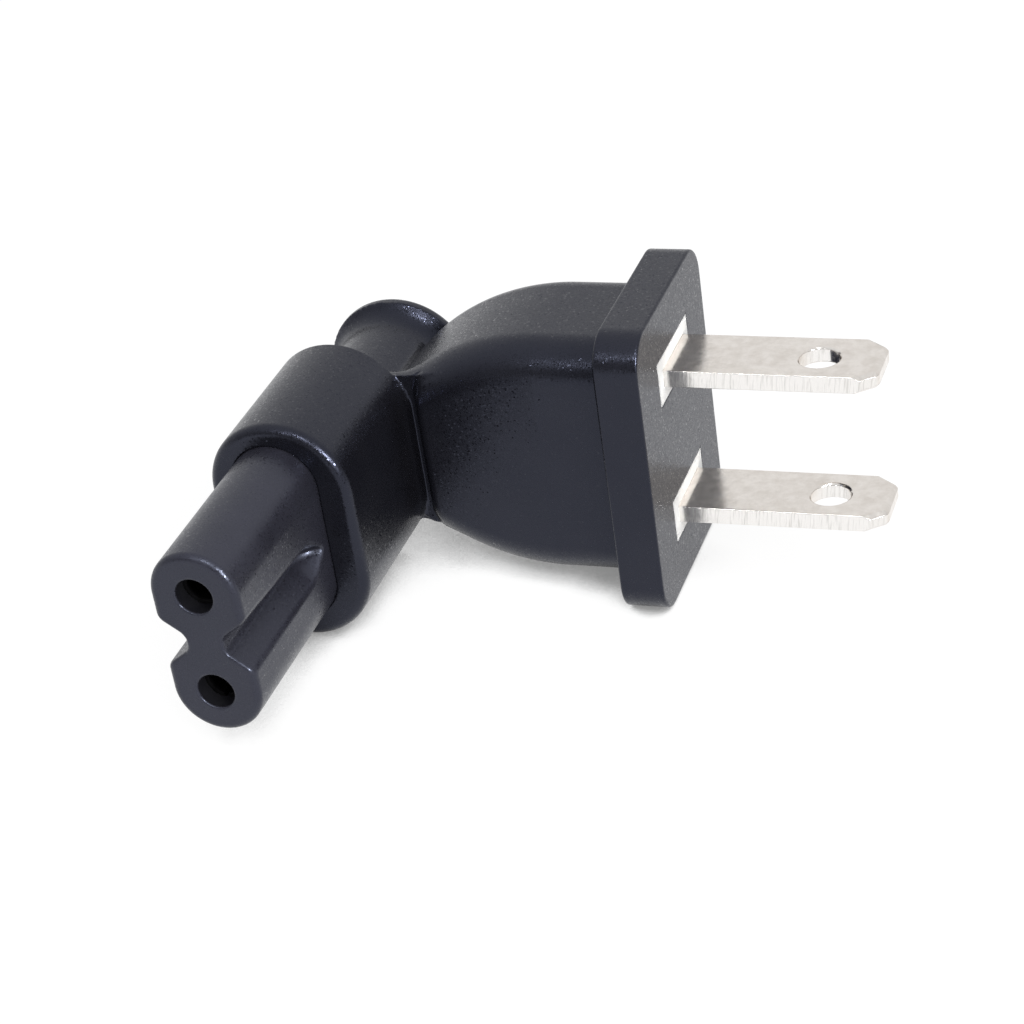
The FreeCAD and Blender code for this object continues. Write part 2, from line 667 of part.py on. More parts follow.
def build():
    moulding = [plug_moulding(), socket_moulding()]
    nose, carrier = nose_blank(), carrier_blank()
    chambers, slots = contact_chambers(), blade_slots()
    nodes = []
    buried = [nose, carrier]
    for side, sign in SIDES.items():
        sleeve_start = f"({CRIMP_REAR} - lead_bare)"
        buried.append(blade(side, sign))
        nodes.append(buried[-1])
        nodes.append(socket_contact(side, sign))
        wire, insulated = "wire_diameter", "sleeve_diameter"
        nodes.append(lead(f"lead_conductor_{side}", sign, CRIMP_FRONT, "carrier_back", wire))
        nodes.append(lead(f"lead_sleeve_{side}", sign, sleeve_start, TAB_BACK, insulated, WIRE_BORE))
        buried.append(lead(f"lead_channel_{side}", sign, sleeve_start, "carrier_back", insulated))
    tilt = FreeCAD.Rotation(FreeCAD.Vector(0, 1, 0), -lying_angle())
    laid_down = FreeCAD.Placement(FreeCAD.Vector(), tilt)
    for body in doc.findObjects("PartDesign::Body"):
        body.Placement = laid_down
    nodes.append(cut("overmould_body", fuse("outer_moulding", moulding), fuse("moulded_in_core", buried)))
    nodes.append(cut("connector_nose", nose, chambers))
    nodes.append(cut("blade_carrier", carrier, slots))
    doc.recompute()
    return nodes


def check(nodes):
    for item in doc.Objects:
        assert not {"Invalid", "Error"} & set(item.State), f"{item.Label} failed"
    for node in nodes:
        assert not node.Shape.isNull() and node.Shape.isValid(), f"{node.Label} has no valid shape"
        assert len(node.Shape.Solids) == 1, f"{node.Label} is not one solid"


nodes = build()
check(nodes)
os.makedirs("parts", exist_ok=True)
for node in nodes:
    node.Shape.exportStep(f"parts/{node.Label}.step")
    print(f"{node.Label}: {node.Shape.Volume:.2f} cubic mm")
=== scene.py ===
import bpy
import numpy as np
from mathutils import Matrix, Vector


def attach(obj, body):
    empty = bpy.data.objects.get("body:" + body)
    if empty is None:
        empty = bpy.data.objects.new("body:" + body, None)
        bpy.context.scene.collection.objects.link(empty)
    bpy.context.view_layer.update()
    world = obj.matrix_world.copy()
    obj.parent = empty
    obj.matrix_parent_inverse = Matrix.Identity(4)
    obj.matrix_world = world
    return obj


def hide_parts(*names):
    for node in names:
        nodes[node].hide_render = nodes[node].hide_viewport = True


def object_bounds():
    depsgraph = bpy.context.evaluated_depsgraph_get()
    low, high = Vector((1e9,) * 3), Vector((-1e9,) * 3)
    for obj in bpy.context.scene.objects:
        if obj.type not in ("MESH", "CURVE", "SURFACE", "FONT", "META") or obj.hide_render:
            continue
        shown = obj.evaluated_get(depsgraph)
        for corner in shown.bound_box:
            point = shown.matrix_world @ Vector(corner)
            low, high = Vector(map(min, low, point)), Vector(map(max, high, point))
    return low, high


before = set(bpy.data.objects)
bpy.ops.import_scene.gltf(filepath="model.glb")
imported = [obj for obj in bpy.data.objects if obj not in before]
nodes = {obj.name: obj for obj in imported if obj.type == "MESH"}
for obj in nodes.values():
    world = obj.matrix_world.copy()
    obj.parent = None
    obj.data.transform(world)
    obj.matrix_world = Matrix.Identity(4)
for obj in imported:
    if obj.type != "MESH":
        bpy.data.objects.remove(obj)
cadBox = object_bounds()
print("frame loaded:", len(nodes), "CAD nodes")


# Shapes as fields of distances, in millimetres: x runs out along the blades, z joins the blades and the nose
# looks along -y. A field is below zero inside its shape.

lyingTilt = np.radians(6.403561478555871)
socketAxis = -27.83                         # middle of the nose and tail, along x
bladeLevel = 6.35                           # middle of a blade, along z

meshing = {
    "axisSteps": 4000,
    "fineReach": 0.6,                       # how far fine grid lines reach from a spot
    "probe": 0.02,                          # half the step over which a slope is measured
    "leastSteep": 0.3,
    "mostMove": 0.1,
    "pull": 0.3,                            # share of the way to the mean of the neighbours
}


def laidDown(points):
    # From the upright frame in millimetres to the lying part in metres: a turn about y
    x, y, z = points.T / 1000
    run, rise = np.cos(lyingTilt), np.sin(lyingTilt)
    return np.stack([x * run - z * rise, y, x * rise + z * run], 1)


def ovalField(a, b, radius, halfStraight):
    # Distance to a run of length twice halfStraight along b, less the radius
    return np.hypot(a, np.maximum(np.abs(b) - halfStraight, 0)) - radius


def rectangleField(a, b, halfA, halfB, corner):
    # Distance to a rectangle drawn in by the corner radius on every side, less that radius
    p, q = np.abs(a) - (halfA - corner), np.abs(b) - (halfB - corner)
    return np.hypot(np.maximum(p, 0), np.maximum(q, 0)) + np.minimum(np.maximum(p, q), 0) - corner


def roundedMeet(first, second, radius):
    # What both shapes share, with their outer edge rounded: a circle of the radius where both are near
    p, q = np.maximum(first + radius, 0), np.maximum(second + radius, 0)
    return np.minimum(np.maximum(first, second), -radius) + np.hypot(p, q)


def roundedJoin(first, second, radius):
    # Both shapes together, with a fillet of the radius in the inner corner
    p, q = np.maximum(radius - first, 0), np.maximum(radius - second, 0)
    return np.maximum(np.minimum(first, second), radius) - np.hypot(p, q)


def gradedAxis(low, high, gaps, spots):
    # Grid lines that stand gaps[0] apart and draw together to gaps[1] near the spots, as a bell curve falls
    fine = np.linspace(low, high, meshing["axisSteps"])
    bells = [np.exp(-((fine - spot) / meshing["fineReach"]) ** 2) for spot in spots]
    near = np.minimum(sum(bells, np.zeros_like(fine)), 1)
    gap = gaps[0] + (gaps[1] - gaps[0]) * near
    count = np.concatenate([[0], np.cumsum(np.diff(fine) / gap[1:])])
    return np.interp(np.linspace(0, count[-1], int(count[-1]) + 1), count, fine)


def slopeOf(field, spots):
    # How steeply the field rises along each axis: its change over a short step, divided by the step
    probe = meshing["probe"]
    rises = [field(*(spots + way).T) - field(*(spots - way).T) for way in np.eye(3) * probe]
    return np.stack(rises, 1) / (2 * probe)


def fieldSurface(field, axes, rounds):
    # The surface where a field is zero. A grid cell that it crosses gets one point, the mean of the crossings
    # on the cell's edges, and a grid edge that it crosses gets one face of four points. Each point then moves
    # towards the mean of its neighbours and back down the field's slope, a few times over.
    values = field(*np.meshgrid(*axes, indexing="ij"))
    inside = values < 0
    cells = tuple(n - 1 for n in values.shape)
    corners = np.array([(i, j, k) for i in (0, 1) for j in (0, 1) for k in (0, 1)])
    filled = sum(inside[i:i + cells[0], j:j + cells[1], k:k + cells[2]].astype(int) for i, j, k in corners)
    crossed = (filled > 0) & (filled < len(corners))
    number = np.full(cells, -1)
    number[crossed] = np.arange(crossed.sum())
    base = np.argwhere(crossed)
    here = values[tuple((base[:, None] + corners[None]).transpose(2, 0, 1))]
    total, count = np.zeros((len(base), 3)), np.zeros((len(base), 1))
    for a in range(len(corners)):
        for b in range(a + 1, len(corners)):
            if np.abs(corners[a] - corners[b]).sum() == 1:
                cut = (here[:, a] < 0) != (here[:, b] < 0)
                share = np.where(cut, here[:, a] / np.where(cut, here[:, a] - here[:, b], 1), 0)[:, None]
                total += np.where(cut[:, None], corners[a] + share * (corners[b] - corners[a]), 0)
                count += cut[:, None]
    place = base + total / count
    points = np.stack([np.interp(place[:, n], np.arange(len(axis)), axis) for n, axis in enumerate(axes)], 1)
    faces = []
    for axis in range(3):
        turned = (axis, (axis + 1) % 3, (axis + 2) % 3)
        ahead = np.moveaxis(inside, turned, (0, 1, 2))
        numbers = np.moveaxis(number, turned, (0, 1, 2))
        leaves = ahead[:-1] & ~ahead[1:]
        enters = ~ahead[:-1] & ahead[1:]
        for edges, order in ((leaves, (0, 1, 2, 3)), (enters, (3, 2, 1, 0))):
            i, j, k = np.nonzero(edges)
            around = ((j - 1, k - 1), (j, k - 1), (j, k), (j - 1, k))
            ring = np.stack([numbers[i, p, q] for p, q in around], 1)
            faces.append(ring[:, order])
    faces = np.concatenate(faces)
    start, end = faces.ravel(), np.roll(faces, -1, 1).ravel()
    degree = np.bincount(start, minlength=len(points)) + np.bincount(end, minlength=len(points))

    def settled(spots):
        slope = slopeOf(field, spots)
        move = field(*spots.T) / np.maximum((slope ** 2).sum(1), meshing["leastSteep"])
        return spots - np.clip(move, -meshing["mostMove"], meshing["mostMove"])[:, None] * slope

    def meanAround(along):
        both = np.bincount(start, along[end], len(along)) + np.bincount(end, along[start], len(along))
        return both / degree

    for _ in range(rounds):
        mean = np.stack([meanAround(along) for along in points.T], 1)
        points = settled(points + meshing["pull"] * (mean - points))
    points = settled(settled(points))
    return points, faces, slopeOf(field, points)


def pieceSurface(field, size):
    # The field's surface on a grid between the size's low and high corners, fine near the places it names
    axes = [gradedAxis(low, high, size["gaps"], size[fine])
            for low, high, fine in zip(size["low"], size["high"], ("fineX", "fineY", "fineZ"))]
    return fieldSurface(field, axes, size["rounds"])


def newPiece(name, points, faces, normals):
    # Puts the arrays into a smooth mesh that rides on the part, shaded by the field's own slope
    mesh = bpy.data.meshes.new(name)
    mesh.vertices.add(len(points))
    mesh.vertices.foreach_set("co", points.ravel())
    mesh.loops.add(faces.size)
    mesh.loops.foreach_set("vertex_index", faces.ravel())
    mesh.polygons.add(len(faces))
    mesh.polygons.foreach_set("loop_start", np.arange(0, faces.size, faces.shape[1]))
    mesh.polygons.foreach_set("loop_total", np.full(len(faces), faces.shape[1]))
    mesh.polygons.foreach_set("use_smooth", np.ones(len(faces), bool))
    mesh.update(calc_edges=True)
    mesh.validate()
    mesh.normals_split_custom_set_from_vertices(normals / np.linalg.norm(normals, axis=1, keepdims=True))
    item = bpy.data.objects.new(name, mesh)
    bpy.context.scene.collection.objects.link(item)
    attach(item, "root")
    return item


# Nose insert: oval stem with an anchor rib, two side notches and two stepped bores

noseSize = {
    "oval": (3.65, 4.3),                    # radius, half straight
    "frontRear": (34.8, 13.4),
    "frontRound": 0.6,
    "rib": (4.75, 17.9, 15.7),              # radius, front, rear
    "entry": (1.5, 33.2),                   # radius, inner end
    "entryRound": 0.18,
    "chamber": 1.8,
    "notchFloor": (1.55, 0.65),             # off the middle, half width
    "notchFlare": 0.738,                    # half width gained per depth
    "notchTurn": 22.7,
    "notchRunout": 2.8,
    "notchLean": (0.45, 1.3),               # drop and narrowing over the run, and for how many runs
    "notchRound": 0.30,
    "notchCorner": 0.35,
    "boreShadeReach": (0.1, 0.2),                 # how far outside the chamber and behind the face the bore walls get painted shade
    "low": (-33.0, -35.3, -9.6),
    "high": (-22.6, -12.9, 9.6),
    "rounds": 4,
    "gaps": (0.17, 0.08),
    "fineX": (),
    "fineY": (-34.8,),
    "fineZ": (),
}


def ribField(across, y, z, size):
    # A wider oval between two planes
    radius, front, rear = size["rib"]
    return np.maximum(ovalField(across, z, radius, size["oval"][1]), np.maximum(-y - front, y + rear))


def noseField(x, y, z, size=noseSize):
    # Oval stem with a round front edge, joined with the rib. Off it go the notches, whose depth runs out on
    # an arc and whose walls open with the depth, and the bores, narrow at the face and wide behind it.
    across = x - socketAxis
    frontReach, rearReach = size["frontRear"]
    oval = ovalField(across, z, *size["oval"])
    stem = roundedMeet(oval, -y - frontReach, size["frontRound"])
    floor, halfFloor = size["notchFloor"]
    runout = size["notchRunout"]
    lifted = np.hypot(np.abs(across) - floor - runout, np.maximum(y + size["notchTurn"], 0))
    depth = np.where(np.abs(across) > floor + runout, runout, runout - lifted)
    drop, runs = size["notchLean"]
    lean = drop * np.clip((y + frontReach) / (frontReach - size["notchTurn"]), 0, runs)
    wall = np.abs(z + lean) + lean - halfFloor - size["notchFlare"] * np.maximum(depth, 0)
    wall = wall / np.hypot(1, size["notchFlare"])
    notch = roundedMeet(wall, -depth, size["notchCorner"])
    stem = roundedMeet(stem, -notch, size["notchRound"])
    solid = np.maximum(np.minimum(stem, ribField(across, y, z, size)), y + rearReach)
    bore = np.hypot(across, np.abs(z) - size["oval"][1])
    solid = roundedMeet(solid, size["entry"][0] - bore, size["entryRound"])
    return np.maximum(solid, -np.maximum(bore - size["chamber"], -y - size["entry"][1]))


# White carrier, needed here for its seat in the moulding

carrierSize = {
    "bosses": (1.875, 3.4, 0.5),            # half height, depth, how far they sink into the block
    "halfWidth": 4.4,
    "back": 8.0,
}


def carrierField(x, y, z, size=carrierSize):
    # Block behind the flange with two bosses that reach the plug face
    halfTall, depth, sink = size["bosses"]
    side = np.abs(y) - size["halfWidth"]
    boss = np.maximum(np.abs(np.abs(z) - bladeLevel) - halfTall, -x - depth - sink)
    block = np.maximum(np.abs(z) - bladeLevel - halfTall, np.maximum(x + depth, -x - size["back"]))
    return np.maximum(side, np.minimum(boss, block))


# Black moulding: flange, domed barrel, web, collar, hub with flared tail

mouldingSize = {
    "flange": (3.65, 9.6, 12.7),            # thickness, half depth, half height
    "flangeCorner": 3.0,
    "flangeRound": 0.2,
    "barrel": (7.3, 10.74),                 # half depth, half height
    "barrelCorner": 3.2,
    "domeStart": 9.7,
    "domeEnd": 23.83,
    "domeSpare": 2,                         # how far the arc goes on past the end
    "domeRadius": 18.5,
    "barrelTaper": 0.7,
    "sideReach": 20.5,
    "sideRound": 0.8,
    "bridgeHalf": 4.9,
    "collarAxis": (-27.53, -0.15),
    "collar": (6.075, 3.725),               # radius, half straight
    "collarFrontRear": (19.0, 5.1),
    "collarRounds": (0.8, 0.15),
    "web": (-23.955, -18.955, 6.85),        # from, to, half height
    "webRear": 3.2,
    "webRound": 1.6,
    "hubRadius": 5.7,
    "waist": (5.3, 6.177),                  # radius, place along y
    "flareRise": (0.8785, 1.884),           # out and along, from waist to rim
    "rim": (6.5, 9.65, 0.9),                # radius, reach, rounding
    "tailSink": 0.5,                        # how far the tail enters the collar
    "fillets": (0.15, 0.25, 1.00),          # at the flange, at the collar, where both halves meet
    "mouthRound": 0.12,
    "low": (-34.4, -19.7, -13.5),
    "high": (0.8, 10.4, 13.5),
    "rounds": 4,
    "gaps": (0.28, 0.10),
    "fineX": (0.0, -3.65, -20.5),
    "fineY": (-19.0, -9.6, -5.1, 9.6),
    "fineZ": (-12.7, -6.85, 6.85, 12.7),
}


def barrelField(x, y, z, size):
    # Rounded rectangle across x; past the start of the dome its half height falls along an arc and its sides
    # lean in. The field is divided by its steepness, so that it stays a distance.
    domeRun = size["domeEnd"] - size["domeStart"]
    run = np.clip(-x - size["domeStart"], 0, domeRun + size["domeSpare"])
    arc = np.sqrt(size["domeRadius"] ** 2 - run ** 2)
    tall = size["barrel"][1] - size["domeRadius"] + arc
    lean = size["barrelTaper"] / domeRun
    deep = size["barrel"][0] - lean * run
    corner = size["barrelCorner"]
    p, q = np.abs(y) - (deep - corner), np.abs(z) - (tall - corner)
    both = (p > 0) & (q > 0)
    length = np.maximum(np.hypot(p, q), 1e-9)
    upShare = np.where(both, q / length, q > p)
    outShare = np.where(both, p / length, q <= p)
    steep = np.hypot(1, upShare * run / arc + outShare * lean * (run > 0))
    return rectangleField(y, z, deep, tall, corner) / steep


def tailField(x, y, z, size):
    # Turned about y: the radius grows from the waist on one arc to the hub and on another to the rim
    rear = size["collarFrontRear"][1]
    turn = np.hypot(x - socketAxis, z)
    waist, waistAt = size["waist"]
    hubOut, hubRun = size["hubRadius"] - waist, -rear - waistAt
    hubArc = (hubOut ** 2 + hubRun ** 2) / (2 * hubOut)
    rimOut, rimRun = size["flareRise"]
    rimArc = (rimOut ** 2 + rimRun ** 2) / (2 * rimOut)
    along = np.clip(y - waistAt, hubRun, rimRun)
    arc = np.where(along < 0, hubArc, rimArc)
    chord = np.sqrt(arc ** 2 - along ** 2)
    slope = along / chord
    flare = waist + arc - chord + slope * np.maximum(y - waistAt - rimRun, 0)
    rimRadius, rimReach, rimRound = size["rim"]
    cap = roundedMeet(turn - rimRadius, y - rimReach, rimRound)
    return np.maximum(np.maximum((turn - flare) / np.hypot(1, slope), cap), -y - rear - size["tailSink"])


def mouldingField(x, y, z, size=mouldingSize):
    # Flange and barrel, then collar, tail and web, joined by fillets, less the seats of nose and carrier
    thick, halfDeep, halfTall = size["flange"]
    flangeFillet, close, wide = size["fillets"]
    outline = rectangleField(y, z, halfDeep, halfTall, size["flangeCorner"])
    flange = roundedMeet(outline, np.maximum(x, -x - thick), size["flangeRound"])
    full = barrelField(x, y, z, size)
    sides = roundedMeet(full, -size["sideReach"] - x, size["sideRound"])
    bridge = np.maximum(np.maximum(full, np.abs(y) - size["bridgeHalf"]), -size["domeEnd"] - x)
    barrel = np.maximum(np.maximum(roundedJoin(sides, bridge, close), full), x + thick / 2)
    front, rear = size["collarFrontRear"]
    oval = ovalField(x - size["collarAxis"][0], z - size["collarAxis"][1], *size["collar"])
    collar = roundedMeet(oval, -y - front, size["collarRounds"][0])
    collar = roundedMeet(collar, y + rear, size["collarRounds"][1])
    webFrom, webTo, webTall = size["web"]
    web = roundedMeet(np.abs(z) - webTall, y + size["webRear"], size["webRound"])
    web = np.maximum(web, np.maximum(np.maximum(webFrom - x, x - webTo), -y - rear))
    body = roundedJoin(flange, barrel, flangeFillet)
    socket = roundedJoin(roundedJoin(collar, tailField(x, y, z, size), close), web, close)
    whole = roundedJoin(body, socket, wide)
    across = x - socketAxis
    stem = ovalField(across, z, *noseSize["oval"])
    seat = np.maximum(np.minimum(stem, ribField(across, y, z, noseSize)), y + noseSize["frontRear"][1])
    whole = roundedMeet(whole, -seat, size["mouthRound"])
    return roundedMeet(whole, -carrierField(x, y, z), size["mouthRound"])


points, faces, normals = pieceSurface(mouldingField, mouldingSize)
mouldingPiece = newPiece("moulding_skin", laidDown(points), faces, laidDown(normals))
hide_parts("overmould_body")
print("moulding:", len(points), "points")

points, faces, normals = pieceSurface(noseField, noseSize)
nosePiece = newPiece("nose_insert", laidDown(points), faces, laidDown(normals))
# Faces inside the bores, which get a near black material as painted shade
middles = points[faces].mean(1)
toPin = np.hypot(middles[:, 0] - socketAxis, np.abs(middles[:, 2]) - noseSize["oval"][1])
outside, behind = noseSize["boreShadeReach"]
boreShadeFaces = (toPin < noseSize["chamber"] + outside) & (middles[:, 1] > behind - noseSize["frontRear"][0])
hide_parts("connector_nose")
print("nose:", len(points), "points")


# Blades: strip with a bevelled tip and a hole, bent inwards at the back into a tab with a wire hole

bladeSize = {
    "half": (3.175, 0.75),                  # across, thick
    "length": 17.2,
    "tip": (1.35, 1.05, 0.25, 0.35),        # along, across, corner rounding, bevel
    "hole": (12.05, 1.65, 0.20),            # reach, radius, countersink
    "tab": (2.2, 1.2, 1.0),                 # half width, inner end, bend radius
    "back": 8.0,
    "neckHalf": 0.4,
    "wire": (2.4, 0.63),                    # level, radius
    "edgeRounds": (0.10, 0.08),             # sheared edge, hole
    "low": (-9.9, -3.5, 0.8),
    "high": (17.5, 3.5, 7.5),
    "rounds": 2,
    "gaps": (0.20, 0.06),
    "fineX": (10.4, 11.2, 12.05, 12.9, 13.7, 15.9, 17.0),
    "fineY": (-3.175, -1.6, -0.8, 0.0, 0.8, 1.6, 3.175),
    "fineZ": (5.6, 7.1),
}


def bladeField(x, y, z, size=bladeSize):
    # Upper blade: a strip within its outline and thickness, less a bevel round the tip and a countersunk
    # hole, joined with the bent tab and with the neck between them
    halfWide, halfThick = size["half"]
    tipAlong, tipAcross, tipCorner, tipBevel = size["tip"]
    across, flat = np.abs(y) - halfWide, np.abs(z - bladeLevel) - halfThick
    slant = (tipAcross * (x - size["length"] + tipAlong) + tipAlong * across) / np.hypot(tipAlong, tipAcross)
    end = roundedMeet(slant, x - size["length"], tipCorner)
    outline = np.maximum(np.maximum(across, end), -x - size["back"])
    strip = roundedMeet(outline, flat, size["edgeRounds"][0])
    strip = np.maximum(strip, (end + flat + tipBevel) / np.sqrt(2))
    holeReach, holeRadius, sink = size["hole"]
    inHole = holeRadius - np.hypot(x - holeReach, y)
    inHole = np.maximum(inHole, (inHole + flat + sink) / np.sqrt(2))
    strip = roundedMeet(strip, inHole, size["edgeRounds"][1])
    tabHalf, tabEnd, bend = size["tab"]
    outer = roundedMeet(z - bladeLevel - halfThick, -x - size["back"] - 2 * halfThick, bend)
    tab = np.maximum(np.maximum(outer, x + size["back"]), np.maximum(np.abs(y) - tabHalf, tabEnd - z))
    tab = np.maximum(tab, size["wire"][1] - np.hypot(y, z - size["wire"][0]))
    neck = np.maximum(np.maximum(np.abs(y) - tabHalf, flat), np.abs(x + size["back"]) - size["neckHalf"])
    return np.minimum(np.minimum(strip, tab), neck)


blades = []
points, faces, normals = pieceSurface(bladeField, bladeSize)
for side, flip in (("upper", 1), ("lower", -1)):
    turned = np.array([1, 1, flip])
    places, slopes = laidDown(points * turned), laidDown(normals * turned)
    blade = newPiece("blade_" + side + "_plated", places, faces[:, ::flip], slopes)
    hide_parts("blade_" + side)
    blades.append(blade)
print("blades:", len(points), "points each")


# Shader helpers

def newMaterial(name):
    material = bpy.data.materials.new(name)
    material.use_nodes = True
    tree = material.node_tree
    return material, tree, tree.nodes["Principled BSDF"]


def addNode(tree, kind, settings=None, **inputs):
    # Inputs go by their name, or by n and their number where names repeat
    node = tree.nodes.new("ShaderNode" + kind)
    for key, setting in (settings or {}).items():
        setattr(node, key, setting)
    for key, given in inputs.items():
        socket = node.inputs[int(key[1:])] if key[0] == "n" and key[1:].isdigit() else node.inputs[key]
        if isinstance(given, bpy.types.NodeSocket):
            tree.links.new(given, socket)
        else:
            socket.default_value = given
    return node


def reckon(tree, operation, first, second=0.0):
    return addNode(tree, "Math", {"operation": operation}, n0=first, n1=second).outputs["Value"]


def mapRange(tree, factor, span, onto, settings=None):
    # Carries one span of numbers onto another
    node = addNode(tree, "MapRange", settings, Value=factor, n1=span[0], n2=span[1], n3=onto[0], n4=onto[1])
    return node.outputs["Result"]


def colourRamp(tree, factor, span, colours):
    # From the first colour to the second as the factor crosses the span
    ramp = addNode(tree, "ValToRGB", Fac=factor)
    for element, place, colour in zip(ramp.color_ramp.elements, span, colours):
        element.position, element.color = place, (*colour, 1)
    return ramp.outputs["Color"]


def noise(tree, place, settings):
    return addNode(tree, "TexNoise", Vector=place, **settings).outputs["Fac"]


def bumped(tree, height, distance, **normal):
    node = addNode(tree, "Bump", Height=height, Strength=1.0, Distance=distance, **normal)
    return node.outputs["Normal"]


def dress(item, material):
    item.data.materials.clear()
    item.data.materials.append(material)


# Black moulding, dark with a fine eroded grain, and the nose, smoother and a little greyer

mouldingLook = {
    "dark": (0.0058, 0.0056, 0.0074),
    "light": (0.0088, 0.0086, 0.0108),
    "toneSpan": (0.35, 0.65),
    "roughness": (0.27, 0.37),
    "roughSpan": (0.3, 0.7),
    "roughFrom": "grain",
    "specular": 0.49,
    # The reflections are tinted blue: painted bluish light
    "paintedBlueLightTint": (0.65, 0.71, 1.0),
    "grain": {"Scale": 9000, "Detail": 3.0, "Roughness": 0.55},
    "grainDepth": 0.000005,
    "cloud": {"Scale": 160.0, "Detail": 4.0},
    "facetScale": 8000,
    "facetLean": 0.32,
    "facetPower": 4.0,
    "facetGloss": 0.14,
}

noseLook = {
    "dark": (0.0200, 0.0196, 0.0270),
    "light": (0.0245, 0.0240, 0.0330),
    "toneSpan": (0.35, 0.65),
    "roughness": (0.32, 0.42),
    "roughSpan": (0.3, 0.7),
    "roughFrom": "cloud",
    "specular": 0.52,
    # The reflections are tinted blue: painted bluish light
    "paintedBlueLightTint": (0.69, 0.76, 1.0),
    "grain": {"Scale": 6000, "Detail": 4.0, "Roughness": 0.6},
    "grainDepth": 0.000006,
    "cloud": {"Scale": 220.0, "Detail": 5.0},
    "facetScale": 8000,
    "facetLean": 0.24,
    "facetPower": 4.0,
    "facetGloss": 0.18,
}


def facetGrain(tree, look):
    # Grain as small facets: the surface's normal plus a lean that is drawn by chance for each cell. A power
    # of a second draw leaves most cells nearly level, and the few that lean far, and are smoother, sparkle.
    coordinates = addNode(tree, "TexCoord")
    cells = addNode(tree, "TexVoronoi", Vector=coordinates.outputs["Object"], Scale=look["facetScale"])
    colour = cells.outputs["Color"]
    centred = addNode(tree, "VectorMath", {"operation": "SUBTRACT"}, n0=colour, n1=(0.5, 0.5, 0.5))
    draw = addNode(tree, "TexWhiteNoise", Vector=colour)
    rare = reckon(tree, "POWER", draw.outputs["Value"], look["facetPower"])
    steep = reckon(tree, "MULTIPLY", rare, look["facetLean"])
    leaning = addNode(tree, "VectorMath", {"operation": "SCALE"}, n0=centred.outputs["Vector"], Scale=steep)
    total = addNode(tree, "VectorMath", {"operation": "ADD"}, n0=coordinates.outputs["Normal"],
                    n1=leaning.outputs["Vector"])
    level = addNode(tree, "VectorMath", {"operation": "NORMALIZE"}, n0=total.outputs["Vector"])
    return level.outputs["Vector"], rare


def grainedMaterial(name, look):
    material, tree, shader = newMaterial(name)
    place = addNode(tree, "TexCoord").outputs["Object"]
    waves = {"grain": noise(tree, place, look["grain"]), "cloud": noise(tree, place, look["cloud"])}
    tone = colourRamp(tree, waves["cloud"], look["toneSpan"], (look["dark"], look["light"]))
    tree.links.new(tone, shader.inputs["Base Color"])
    facet, rare = facetGrain(tree, look)
    rough = mapRange(tree, waves[look["roughFrom"]], look["roughSpan"], look["roughness"])
    rough = addNode(tree, "Mix", {"data_type": "FLOAT"}, n0=rare, n2=rough, n3=look["facetGloss"])
    tree.links.new(rough.outputs[0], shader.inputs["Roughness"])
    tree.links.new(bumped(tree, waves["grain"], look["grainDepth"], Normal=facet), shader.inputs["Normal"])
    shader.inputs["Specular IOR Level"].default_value = look["specular"]
    # Blue tint on the reflections, painted in for bluish light
    shader.inputs["Specular Tint"].default_value = (*look["paintedBlueLightTint"], 1)
    return material


# Nickel plate on the blades

nickelLook = {
    "dark": (0.755, 0.705, 0.655),
    "light": (0.875, 0.830, 0.785),
    "toneSpan": (0.34, 0.62),
    "shearedDark": (0.70, 0.680, 0.655),
    "sheared": (0.89, 0.870, 0.848),
    "shearedSpan": (0.30, 0.50),
    "sideSpan": (0.4, 0.9),                 # how far a face looks sideways where tears start and are full
    "blotch": {"Scale": 800.0, "Detail": 6.0, "Roughness": 0.62},
    "tear": {"Scale": 1.0, "Detail": 4.0, "Roughness": 0.6},
    "tearStretch": (6000.0, 900.0, 420.0),
    "tearDepth": 0.000004,
    "roll": {"Scale": 1500.0, "Detail": 5.0, "Roughness": 0.6},
    "rollDepth": 0.0000006,
    "roughness": (0.12, 0.24),
    "roughSpan": (0.3, 0.7),
}


def nickelMaterial(look):
    material, tree, shader = newMaterial("nickelPlate")
    coordinates = addNode(tree, "TexCoord")
    place = coordinates.outputs["Object"]
    blotch = noise(tree, place, look["blotch"])
    tone = colourRamp(tree, blotch, look["toneSpan"], (look["dark"], look["light"]))
    # The sheared sides, which face along y, carry upright tear marks
    facing = addNode(tree, "SeparateXYZ", Vector=coordinates.outputs["Normal"])
    sideways = reckon(tree, "ABSOLUTE", facing.outputs["Y"])
    edge = mapRange(tree, sideways, look["sideSpan"], (0.0, 1.0))
    upright = addNode(tree, "Mapping", Vector=place, Scale=look["tearStretch"])
    tear = noise(tree, upright.outputs["Vector"], look["tear"])
    torn = colourRamp(tree, tear, look["shearedSpan"], (look["shearedDark"], look["sheared"]))
    mixed = addNode(tree, "Mix", {"data_type": "RGBA"}, n0=edge, n6=tone, n7=torn)
    tree.links.new(mixed.outputs[2], shader.inputs["Base Color"])
    roll = noise(tree, place, look["roll"])
    rough = mapRange(tree, roll, look["roughSpan"], look["roughness"])
    tree.links.new(rough, shader.inputs["Roughness"])
    rolled = bumped(tree, roll, look["rollDepth"])
    tearing = reckon(tree, "MULTIPLY", tear, edge)
    tree.links.new(bumped(tree, tearing, look["tearDepth"], Normal=rolled), shader.inputs["Normal"])
    shader.inputs["Metallic"].default_value = 1.0
    return material
